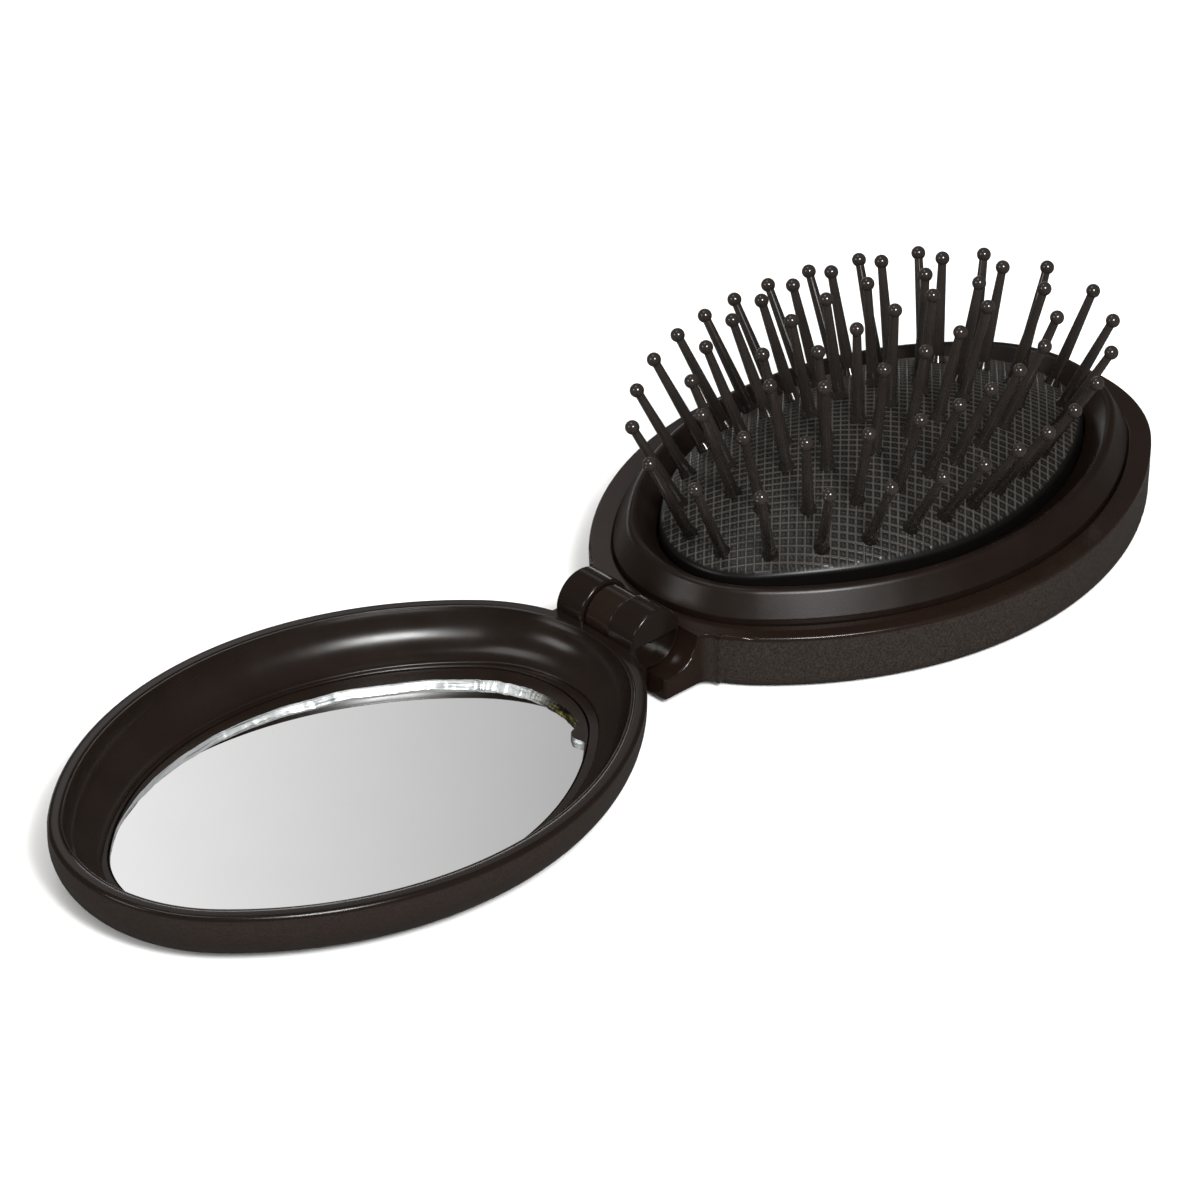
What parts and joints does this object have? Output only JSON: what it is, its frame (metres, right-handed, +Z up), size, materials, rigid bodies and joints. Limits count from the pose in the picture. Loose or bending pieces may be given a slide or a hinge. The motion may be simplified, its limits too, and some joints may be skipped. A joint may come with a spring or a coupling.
{
  "type": "folding hairbrush with mirror",
  "caption": "Folding oval pocket hairbrush: ball-tipped pins on a domed rubber cushion in one half, a mirror in the hinged lid.",
  "frame": {"origin": "on the surface the open brush lies on, below the middle of the hinge pin", "axes": "+X from the hinge along the brush half, +Y along the hinge pin, +Z up from the back of the cases to the pins"},
  "size_m": [0.1868, 0.0648, 0.0365],
  "materials": {
    "abs_satin": "fine satin texture",
    "abs_gloss": "polished moulding",
    "cushion_rubber": "satin, fine square relief",
    "nylon": "smooth moulding",
    "silvered_glass": "mirror",
    "foam_tape": "matt",
    "steel_pin": "drawn wire"
  },
  "bodies": {
    "casing": {"brush_casing": "abs_satin"},
    "head": {"bezel_ring": "abs_gloss", "cushion_retainer": "abs_gloss", "cushion_pad": "cushion_rubber"},
    "pins_outer": {"pins_outer_01": "nylon", "pins_outer_02": "nylon", "pins_outer_03": "nylon", "pins_outer_04": "nylon", "pins_outer_05": "nylon", "pins_outer_06": "nylon", "pins_outer_07": "nylon", "pins_outer_08": "nylon", "pins_outer_09": "nylon", "pins_outer_10": "nylon", "pins_outer_11": "nylon", "pins_outer_12": "nylon", "pins_outer_13": "nylon"},
    "pins_second": {"pins_second_01": "nylon", "pins_second_02": "nylon", "pins_second_03": "nylon", "pins_second_04": "nylon", "pins_second_05": "nylon", "pins_second_06": "nylon", "pins_second_07": "nylon", "pins_second_08": "nylon", "pins_second_09": "nylon", "pins_second_10": "nylon"},
    "pins_third": {"pins_third_01": "nylon", "pins_third_02": "nylon", "pins_third_03": "nylon", "pins_third_04": "nylon", "pins_third_05": "nylon", "pins_third_06": "nylon"},
    "pins_centre": {"pins_centre_01": "nylon", "pins_centre_02": "nylon"},
    "mirror": {"mirror_shell": "abs_satin", "mirror_frame": "abs_gloss", "mirror_glass": "silvered_glass", "mirror_tape": "foam_tape", "hinge_pin": "steel_pin"}
  },
  "joints": [
    {"name": "lid_hinge", "type": "hinge", "parent": "casing", "child": "mirror", "pos_m": [0, 0, 0.0087], "axis": [0, 1, 0], "range_deg": [0, 180], "deforming": ["cushion_pad"]},
    {"name": "head_slide", "type": "slide", "parent": "casing", "child": "head", "axis": [0, 0, -1], "range_m": [0, 0.0074]},
    {"name": "outer_pins_slide", "type": "slide", "parent": "head", "child": "pins_outer", "axis": [0, 0, -1], "range_m": [0, 0.0076]},
    {"name": "second_pins_slide", "type": "slide", "parent": "head", "child": "pins_second", "axis": [0, 0, -1], "range_m": [0, 0.0105]},
    {"name": "third_pins_slide", "type": "slide", "parent": "head", "child": "pins_third", "axis": [0, 0, -1], "range_m": [0, 0.0136]},
    {"name": "centre_pins_slide", "type": "slide", "parent": "head", "child": "pins_centre", "axis": [0, 0, -1], "range_m": [0, 0.0145]}
  ],
  "couplings": [
    {"joint": "head_slide", "follows": "lid_hinge", "m_per_rad": 0.0023555},
    {"joint": "outer_pins_slide", "follows": "lid_hinge", "m_per_rad": 0.0024192},
    {"joint": "second_pins_slide", "follows": "lid_hinge", "m_per_rad": 0.0033423},
    {"joint": "third_pins_slide", "follows": "lid_hinge", "m_per_rad": 0.004329},
    {"joint": "centre_pins_slide", "follows": "lid_hinge", "m_per_rad": 0.0046155}
  ]
}
